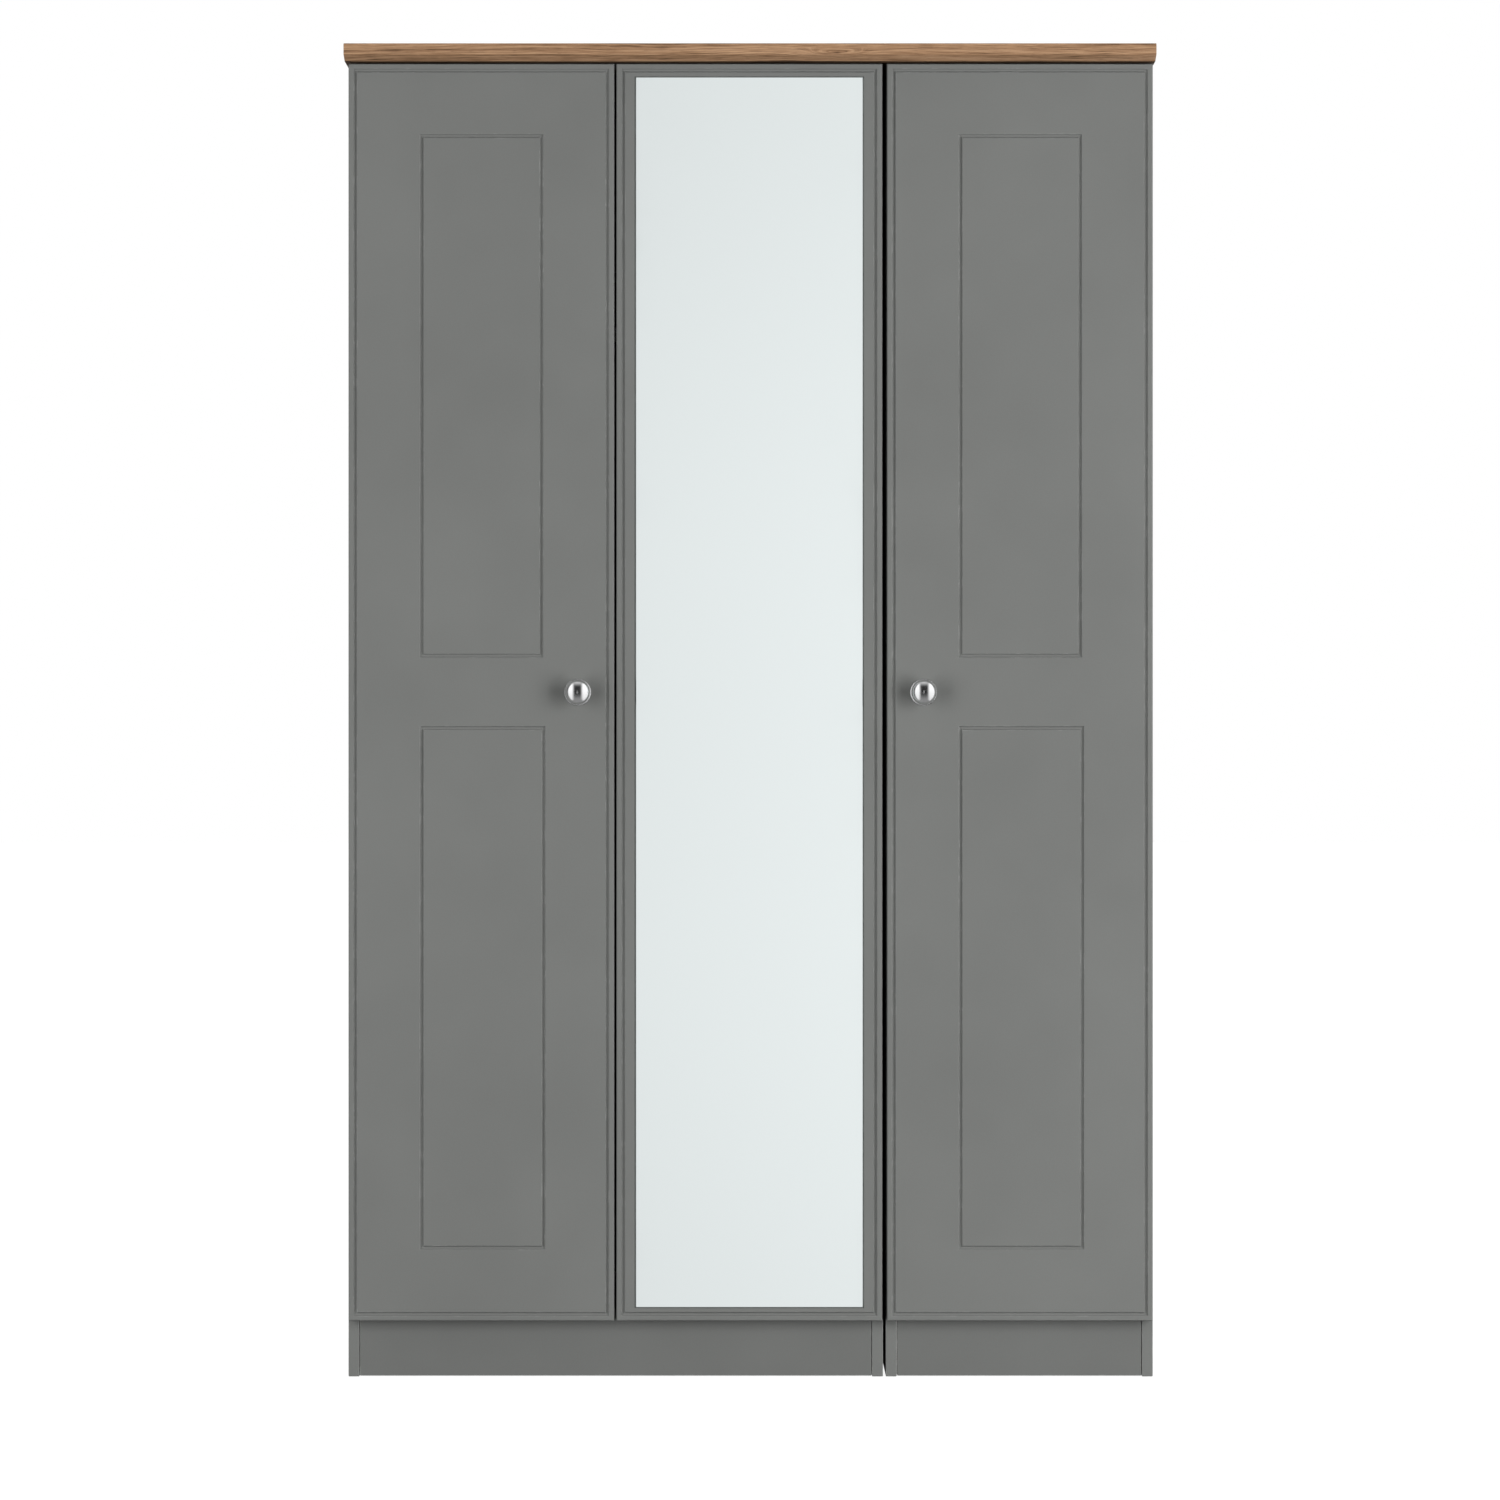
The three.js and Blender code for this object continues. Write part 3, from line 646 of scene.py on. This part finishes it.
# ------------------------------------------------------------------ mirror
def mirror_sheet():
    low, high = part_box("mirror_glass")
    low.x -= MIRROR_SPREAD
    high.x += MIRROR_SPREAD
    bm = bmesh.new()
    mirror, glass_edge, mirror_paint = range(3)
    bevel = 0.0009
    profile = [(0, high.y), (0, low.y + bevel), (bevel, low.y)]
    rings = []
    for d, y in profile:
        corners = ((low.x + d, low.z + d), (high.x - d, low.z + d),
                   (high.x - d, high.z - d), (low.x + d, high.z - d))
        rings.append([bm.verts.new((x, y, z)) for x, z in corners])
    bm.faces.new(rings[0]).material_index = mirror_paint
    for finish, a, b in zip((glass_edge, mirror), rings, rings[1:]):
        for i in range(4):
            j = (i + 1) % 4
            bm.faces.new((a[i], a[j], b[j], b[i])).material_index = finish
    bm.faces.new(rings[-1]).material_index = mirror
    obj = object_from("mirror_glass_finish", bm, "mirror_door", "mirror",
                      ["mirror", "glass_edge", "mirror_paint"], ("mirror_glass",))
    obj.data.shade_flat()


mirror_sheet()


# ------------------------------------------------------------------ knobs
def knob(name, info):
    """Flattened chrome ball on a short neck, standing on a round rose with a rolled rim."""
    low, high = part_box(f"{name}_knob")
    x, z = (low.x + high.x) / 2, (low.z + high.z) / 2
    rose = (high.z - low.z) / 2
    reach = DOOR_FACE - low.y
    ball, half_depth, neck, thick = 0.0169, 0.012, 0.0065, 0.0024
    roll, fillet = 0.0006, 0.0012
    middle = reach - half_depth
    profile = [(0, 0.0003), (rose - 0.0003, 0.0003), (rose, roll)]
    for i in range(1, 9):
        a = math.pi / 2 * i / 8
        profile.append((rose - roll * (1 - math.cos(a)), roll + (thick - roll) * math.sin(a)))
    profile.append((neck + fillet, thick))
    for i in range(1, 6):
        a = math.pi / 2 * i / 5
        profile.append((neck + fillet * (1 - math.sin(a)), thick + fillet * (1 - math.cos(a))))
    start = math.asin(neck / ball)
    for i in range(0, 41):
        a = start + (math.pi - start) * i / 40
        profile.append((ball * math.sin(a), middle - half_depth * math.cos(a)))
    profile[-1] = (0, reach)
    bm = bmesh.new()
    lathe(bm, profile, (x, DOOR_FACE, z), (0, -1, 0), 96)
    obj = object_from(f"{name}_knob_finish", bm, info["body"], "chrome", ["knob_chrome"], (f"{name}_knob",))
    dress(obj, 0, sharp=40)
    refine(f"{name}_knob_screw", "nickel", ["nickel"], 0.0002)


# ------------------------------------------------------------------ screws
def screw_mesh(name, radius, dome):
    """Cross-recess screw head, its seat at the origin and its crown along +Z."""
    bm = bmesh.new()
    profile = [(0, 0), (radius, 0), (radius, dome * 0.35)]
    for i in range(1, 7):
        a = math.pi / 2 * i / 6
        profile.append((radius * math.cos(a) if i < 6 else 0, dome * 0.35 + dome * 0.65 * math.sin(a)))
    lathe(bm, profile, (0, 0, 0), (0, 0, 1), 28)
    bmesh.ops.recalc_face_normals(bm, faces=bm.faces)
    mesh = bpy.data.meshes.new(name)
    bm.to_mesh(mesh)
    bm.free()
    head = bpy.data.objects.new(name, mesh)
    scene.collection.objects.link(head)
    mesh.materials.append(MAT["nickel"])
    # the cross recess gets a dark metal: painted shade in the hollow
    mesh.materials.append(MAT["recess"])
    # the recess is one cross-shaped solid, since two overlapping slots would cut the whole head away
    arm, thin, deep = radius * 0.62, radius * 0.13, dome * 0.76
    quarter = [(arm, -thin), (arm, thin), (thin, thin)]
    cut = bmesh.new()
    rims = []
    for z in (dome - deep, dome + deep):
        rims.append([cut.verts.new(Matrix.Rotation(math.pi / 2 * k + 0.4, 3, "Z") @ Vector((x, y, z)))
                     for k in range(4) for x, y in quarter])
    cut.faces.new(rims[0])
    cut.faces.new(rims[1])
    for i in range(12):
        j = (i + 1) % 12
        cut.faces.new((rims[0][i], rims[0][j], rims[1][j], rims[1][i]))
    bmesh.ops.recalc_face_normals(cut, faces=cut.faces)
    for face in cut.faces:
        face.material_index = 1
    cut_mesh = bpy.data.meshes.new(name + "_cross")
    cut.to_mesh(cut_mesh)
    cut.free()
    cut_mesh.materials.append(MAT["nickel"])
    cut_mesh.materials.append(MAT["recess"])
    cross = bpy.data.objects.new(name + "_cross", cut_mesh)
    scene.collection.objects.link(cross)
    boolean = head.modifiers.new("cross", "BOOLEAN")
    boolean.operation = "DIFFERENCE"
    boolean.solver = "EXACT"
    boolean.object = cross
    apply_modifiers(head)
    head.data.shade_smooth()
    head.data.set_sharp_from_angle(angle=math.radians(35))
    result = head.data
    bpy.data.objects.remove(head)
    bpy.data.objects.remove(cross)
    return result


FLAT_SCREW = screw_mesh("flat_screw_head", 0.0036, 0.0007)
PAN_SCREW = screw_mesh("pan_screw_head", 0.0034, 0.0016)


def screw(name, mesh, seat, axis, body, spin):
    """Puts a screw head on its seat with its crown along the axis, turned by spin."""
    obj = bpy.data.objects.new(name, mesh.copy())
    scene.collection.objects.link(obj)
    turn = Vector((0, 0, 1)).rotation_difference(Vector(axis)).to_matrix().to_4x4()
    obj.data.transform(Matrix.Translation(Vector(seat)) @ turn @ Matrix.Rotation(spin, 4, "Z"))
    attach(obj, body)


for name, info in DOORS.items():
    if info["knob"]:
        knob(name, info)


# ------------------------------------------------------------------ hinges
CUP_SCREWS = (-0.024, 0.024)                  # above and below the hinge's middle
PLATE_SCREWS = (-0.0215, 0.0215)
ARM_SCREWS = (0.034, 0.058)                   # behind the arm's front end
PLATE_THICK = 0.0036

for name, info in DOORS.items():
    side = info["side"]
    edge = lo(f"{name}_door").x if side > 0 else hi(f"{name}_door").x
    for k, height in enumerate(HEIGHTS):
        tag = f"{name}_hinge_{height}"
        for part in ("cup", "arm", "plate"):
            refine(f"{tag}_{part}", "nickel", ["nickel"], 0.0003, segments=2, angle=40)
        low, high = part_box(f"{tag}_cup")
        z = (low.z + high.z) / 2
        for j, dz in enumerate(CUP_SCREWS):
            screw(f"{tag}_cup_screw_{j + 1}", FLAT_SCREW, (edge + side * CUP_INSET, high.y, z + dz),
                  (0, 1, 0), info["body"], 0.7 * k + 0.5 * j)
        low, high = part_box(f"{tag}_plate")
        inner = low.x if side > 0 else high.x
        face = inner + side * PLATE_THICK
        for j, dz in enumerate(PLATE_SCREWS):
            screw(f"{tag}_plate_screw_{j + 1}", FLAT_SCREW, (face, low.y + 0.011, z + dz),
                  (side, 0, 0), "carcass", 0.9 * k + 1.1 * j)
        arm_low, arm_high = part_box(f"{tag}_arm")
        crown = arm_high.x if side > 0 else arm_low.x
        for j, dy in enumerate(ARM_SCREWS):
            screw(f"{tag}_arm_screw_{j + 1}", PAN_SCREW, (crown, arm_low.y + dy, z),
                  (side, 0, 0), "carcass", 0.4 * k + 1.3 * j)


# ------------------------------------------------------------------ hanging rails and sockets
RAIL_WIDE, RAIL_TALL, RAIL_WALL = 0.015, 0.030, 0.0012
SOCKET_FLANGE = 0.0025
SOCKET_SCREWS = (-0.0215, 0.0215)


def stadium_loop(bm, x, y, z, wide, tall, segments=16):
    """Loop of points across a rail: two half rounds joined by straight sides."""
    r, h = wide / 2, tall / 2 - wide / 2
    ring = []
    for half in range(2):
        for i in range(segments + 1):
            a = math.pi * half + math.pi * i / segments
            dz = h if half == 0 else -h
            ring.append(bm.verts.new((x, y + r * math.cos(a), z + dz + r * math.sin(a))))
    return ring


for unit in UNITS:
    node = f"{unit}_hanging_rail"
    low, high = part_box(node)
    y, z = (low.y + high.y) / 2, (low.z + high.z) / 2
    bm = bmesh.new()
    (a, a2), (b, b2) = [
        (stadium_loop(bm, x, y, z, RAIL_WIDE, RAIL_TALL),
         stadium_loop(bm, x, y, z, RAIL_WIDE - 2 * RAIL_WALL, RAIL_TALL - 2 * RAIL_WALL))
        for x in (low.x, high.x)]
    for i in range(len(a)):
        j = (i + 1) % len(a)
        bm.faces.new((a[i], a[j], b[j], b[i]))
        bm.faces.new((a2[j], a2[i], b2[i], b2[j]))
        bm.faces.new((a[j], a[i], a2[i], a2[j]))
        bm.faces.new((b[i], b[j], b2[j], b2[i]))
    obj = object_from(f"{unit}_hanging_rail_finish", bm, "carcass", "chrome", ["chrome"], (node,))
    dress(obj, 0, sharp=40)
    for tag, inward in (("left", 1), ("right", -1)):
        node = f"{unit}_rail_socket_{tag}"
        refine(node, "plastic", ["plastic"], 0.0006, segments=3, angle=40)
        low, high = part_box(node)
        plate = low.x + SOCKET_FLANGE if inward > 0 else high.x - SOCKET_FLANGE
        for j, dz in enumerate(SOCKET_SCREWS):
            screw(f"{node}_screw_{j + 1}", FLAT_SCREW, (plate, y, z + dz), (inward, 0, 0), "carcass", j * 0.8)


# ------------------------------------------------------------------ small fittings
# outlines as (radius, distance along the axis), from the seat outwards
SHELF_PIN = [(0, 0), (0.0034, 0), (0.0034, 0.0008), (0.0025, 0.0012), (0.0025, 0.0068), (0.0021, 0.0074),
             (0, 0.0076)]
CAM_COVER = [(0, 0), (0.0085, 0), (0.0085, 0.0004), (0.0078, 0.0010), (0.0030, 0.0012), (0.0026, 0.0009),
             (0, 0.0009)]
NAIL = [(0, 0), (0.0016, 0), (0.0016, 0.0003), (0.0011, 0.0006), (0, 0.0007)]
JOINING_HEAD = [(0, 0), (0.0072, 0), (0.0070, 0.0007), (0.0046, 0.0014), (0.0026, 0.0014), (0.0024, 0.0006),
                (0, 0.0006)]
BOARD_MIDDLE = 0.0075
NAIL_SEAT = 0.0033                            # outside of the back sheet, behind the base's rear edge


def small(name, profile, centre, axis, body, slot, material, segments=24):
    """A turned fitting that stands on its seat."""
    bm = bmesh.new()
    lathe(bm, profile, centre, axis, segments)
    dress(object_from(name, bm, body, slot, [material]), 0, sharp=40)


for unit in UNITS:
    left_in = hi(f"{unit}_side_left").x
    right_in = lo(f"{unit}_side_right").x
    low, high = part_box(f"{unit}_shelf")
    # shelf pins under the shelf, one near each corner
    for tag, x, axis in (("left", left_in, (1, 0, 0)), ("right", right_in, (-1, 0, 0))):
        for j, row in enumerate(PIN_ROWS):
            seat = (x, lo(f"{unit}_side_left").y + row, low.z - 0.0036)
            small(f"{unit}_shelf_pin_{tag}_{j + 1}", SHELF_PIN, seat, axis, "carcass", "nickel", "nickel", 20)
    # cam covers on the base and under the rails
    spots = []
    base_top = hi(f"{unit}_base").z
    rail_under = lo(f"{unit}_top_rail_front").z
    front = lo(f"{unit}_base").y
    for x in (left_in + 0.034, right_in - 0.034):
        spots.append((x, front + 0.42, base_top, 1))
        spots.append((x, front + 0.115, base_top, 1))
        spots.append((x, front + 0.052, rail_under, -1))
        spots.append((x, lo(f"{unit}_top_rail_back").y + 0.04, rail_under, -1))
    for j, (x, y, z, up) in enumerate(spots):
        small(f"{unit}_cam_cover_{j + 1}", CAM_COVER, (x, y, z), (0, 0, up), "carcass", "plastic", "plastic")
    # nails through the back sheet into the base, shelf and rail
    sheet_y = hi(f"{unit}_base").y + NAIL_SEAT
    rows = [under + BOARD_MIDDLE for under in (lo(f"{unit}_base").z, low.z, rail_under)]
    span = right_in - left_in
    count = 8 if unit == "double" else 4
    for r, z in enumerate(rows):
        for j in range(count):
            x = left_in + span * (j + 0.5) / count
            small(f"{unit}_nail_{r + 1}_{j + 1}", NAIL, (x, sheet_y, z), (0, 1, 0), "carcass", "nickel",
                  "nickel", 12)

# screws that join the two units, seen from inside
for j, z in enumerate((0.62, 1.25)):
    y = lo("single_side_left").y + 0.30
    for tag, x, out in (("sleeve", hi("single_side_left").x, 1), ("bolt", lo("double_side_right").x, -1)):
        small(f"joining_{tag}_{j + 1}", JOINING_HEAD, (x, y, z), (out, 0, 0), "carcass", "nickel", "nickel")

# soft bumpers at the free corners of each door
for name, info in DOORS.items():
    low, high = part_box(f"{name}_door")
    free = high.x if info["side"] > 0 else low.x
    x = free - info["side"] * 0.016
    for tag, z in (("low", low.z + 0.0065), ("high", high.z - 0.0065)):
        profile = [(0, 0), (0.0042, 0), (0.0041, 0.0006)]
        for i in range(1, 6):
            a = math.pi / 2 * i / 5
            profile.append((0.0038 * math.cos(a) if i < 5 else 0, 0.0006 + 0.0016 * math.sin(a)))
        small(f"{name}_bumper_{tag}", profile, (x, high.y, z), (0, 1, 0), info["body"], "plastic", "bumper")


# ------------------------------------------------------------------ floor, light and camera
def stage_floor():
    """Pale seamless floor: it shows the contact shadows but adds no bounce, as a cut-out studio floor."""
    bm = bmesh.new()
    bmesh.ops.create_grid(bm, x_segments=1, y_segments=1, size=40)
    mesh = bpy.data.meshes.new("floor")
    bm.to_mesh(mesh)
    bm.free()
    floor = bpy.data.objects.new("floor", mesh)
    scene.collection.objects.link(floor)
    s = Shader("pale_floor", (0.20, 0.20, 0.20), 0.9, Specular_IOR_Level=0.0)
    s.surface.inputs["Emission Color"].default_value = (1, 1, 1, 1)
    s.surface.inputs["Emission Strength"].default_value = 0.93
    mesh.materials.append(s.material)
    floor.visible_diffuse = False
    floor.visible_glossy = False
    floor.visible_shadow = False


LIGHT = {
    # fill on the surfaces
    "front": 0.08, "sides": 0.14, "above": 0.30, "behind": 0.95, "below": 0.04,
    # what mirrors and chrome see
    "box": 1.12, "box_rise": 0.25, "card": 0.97, "card_slope": 1.4,
}
# plain room behind the soft boxes: (elevation in degrees, brightness) for floor, dark middle and ceiling
ROOM = [(-60, 0.27), (0, 0.03), (35, 0.04), (80, 0.60)]
# two soft boxes, in degrees: the outer edge is (start, full) in azimuth from straight ahead,
# and the inner edge (full, end) is upright, at an angle from the middle plane
SOFT_BOXES = [((-85, -68), (-38, -18)), ((115, 95), (42, 20))]
BOX_HEIGHT = (-62, -52, 58, 68)               # elevation, (start, full, full, end)
# card straight opposite the doors, as parts of the unit direction: (end, full) sideways and up
CARD_WIDE, CARD_TALL = (0.028, 0.0235), (0.148, 0.137)


def studio_world():
    """White studio. Surfaces get a soft fill; mirrors and chrome see two soft boxes in a dark room with a
    pale floor and ceiling, and one narrow pale card opposite the doors."""
    world = bpy.data.worlds.new("studio")
    world.use_nodes = True
    scene.world = world
    tree = world.node_tree
    tree.nodes.clear()

    def add(kind, inputs=(), out=0, **settings):
        return add_node(tree, kind, inputs, out, **settings)

    def calc(op, a, b=0.0, c=0.0):
        return add("ShaderNodeMath", {0: a, 1: b, 2: c}, operation=op)

    def step(value, a, b, c=0.0, d=1.0):
        return add("ShaderNodeMapRange", {
            "Value": value, "From Min": a, "From Max": b, "To Min": c, "To Max": d},
            interpolation_type="SMOOTHSTEP")

    def blend(factor, a, b):
        return add("ShaderNodeMix", {0: factor, 2: a, 3: b})

    direction = add("ShaderNodeTexCoord", out=0)
    x, y, z = add("ShaderNodeSeparateXYZ", {0: direction}).node.outputs
    flat = calc("SQRT", calc("ADD", calc("MULTIPLY", x, x), calc("MULTIPLY", y, y)))
    toward = calc("DIVIDE", calc("MULTIPLY", y, -1.0), calc("MAXIMUM", flat, 0.001))

    def cosine(degrees):
        return math.cos(math.radians(degrees))

    fill = blend(step(toward, cosine(30), cosine(60)), LIGHT["front"], LIGHT["sides"])
    fill = blend(step(z, 0.15, 0.85), fill, LIGHT["above"])
    fill = blend(step(toward, cosine(85), cosine(115)), fill, LIGHT["behind"])
    fill = blend(step(z, -0.02, -0.25), fill, LIGHT["below"])

    azimuth = calc("DEGREES", calc("ARCTAN2", x, calc("MULTIPLY", y, -1.0)))
    elevation = calc("DEGREES", calc("ARCSINE", z))
    aside = calc("DEGREES", calc("ARCSINE", x))
    seen = ROOM[0][1]
    for (low, _), (high, level) in zip(ROOM, ROOM[1:]):
        seen = blend(step(elevation, low, high), seen, level)
    boxes = calc("ADD", *(calc("MULTIPLY", step(azimuth, *outer), step(aside, end, full))
                          for outer, (full, end) in SOFT_BOXES))
    low, low_full, high_full, high = BOX_HEIGHT
    boxes = calc("MULTIPLY", boxes, step(elevation, low, low_full))
    boxes = calc("MULTIPLY", boxes, step(elevation, high, high_full))
    lit = calc("MULTIPLY", LIGHT["box"], calc("MULTIPLY_ADD", z, LIGHT["box_rise"], 1.0))
    seen = blend(boxes, seen, lit)

    card = calc("MULTIPLY", step(calc("ABSOLUTE", x), *CARD_WIDE), step(calc("ABSOLUTE", z), *CARD_TALL))
    card = calc("MULTIPLY", card, calc("GREATER_THAN", toward, 0.0))
    glow = calc("ADD", LIGHT["card"], calc("MULTIPLY", x, LIGHT["card_slope"]))
    glow = calc("MULTIPLY", glow, step(calc("ABSOLUTE", z), 0.03, 0.16, 1.02, 0.95))
    seen = blend(card, seen, glow)

    path = add("ShaderNodeLightPath").node
    level = blend(path.outputs["Is Glossy Ray"], fill, seen)
    level = blend(path.outputs["Is Camera Ray"], level, 1.0)
    shader = add("ShaderNodeBackground", {"Color": (1, 1, 1, 1), "Strength": level})
    out = tree.nodes.new("ShaderNodeOutputWorld")
    tree.links.new(shader, out.inputs["Surface"])


LAMP_ASIDE, LAMP_AHEAD, LAMP_HEIGHT = 3.05, 2.90, 0.90
LAMP_WIDE, LAMP_TALL = 2.0, 3.7


def soft_light(name, side, power):
    """Area lamp at one side in front of the doors, aimed at them and unseen by camera, chrome and mirror."""
    data = bpy.data.lights.new(name, "AREA")
    data.shape = "RECTANGLE"
    data.size = LAMP_WIDE
    data.size_y = LAMP_TALL
    data.energy = power
    place = Vector((side * LAMP_ASIDE, DOOR_FACE - LAMP_AHEAD, LAMP_HEIGHT))
    aim = Vector((0, DOOR_FACE, LAMP_HEIGHT))
    light = bpy.data.objects.new(name, data)
    scene.collection.objects.link(light)
    light.location = place
    light.rotation_euler = (aim - place).to_track_quat("-Z", "Y").to_euler()
    light.visible_camera = False
    light.visible_glossy = False


stage_floor()
studio_world()
soft_light("key_right", 1, 160)
soft_light("key_left", -1, 104)

CAMERA_DISTANCE, CAMERA_HEIGHT = 7.0, 0.8586
FRAME_WIDTH = 2.0495                          # width of the view at the doors' face
SENSOR_WIDTH = 36
camera_data = bpy.data.cameras.new("camera")
camera = bpy.data.objects.new("camera", camera_data)
scene.collection.objects.link(camera)
camera.location = (0, DOOR_FACE - CAMERA_DISTANCE, CAMERA_HEIGHT)
camera.rotation_euler = (math.pi / 2, 0, 0)
camera_data.sensor_width = SENSOR_WIDTH
camera_data.lens = SENSOR_WIDTH * CAMERA_DISTANCE / FRAME_WIDTH
camera_data.clip_end = 200
scene.camera = camera
scene.view_settings.view_transform = "Standard"
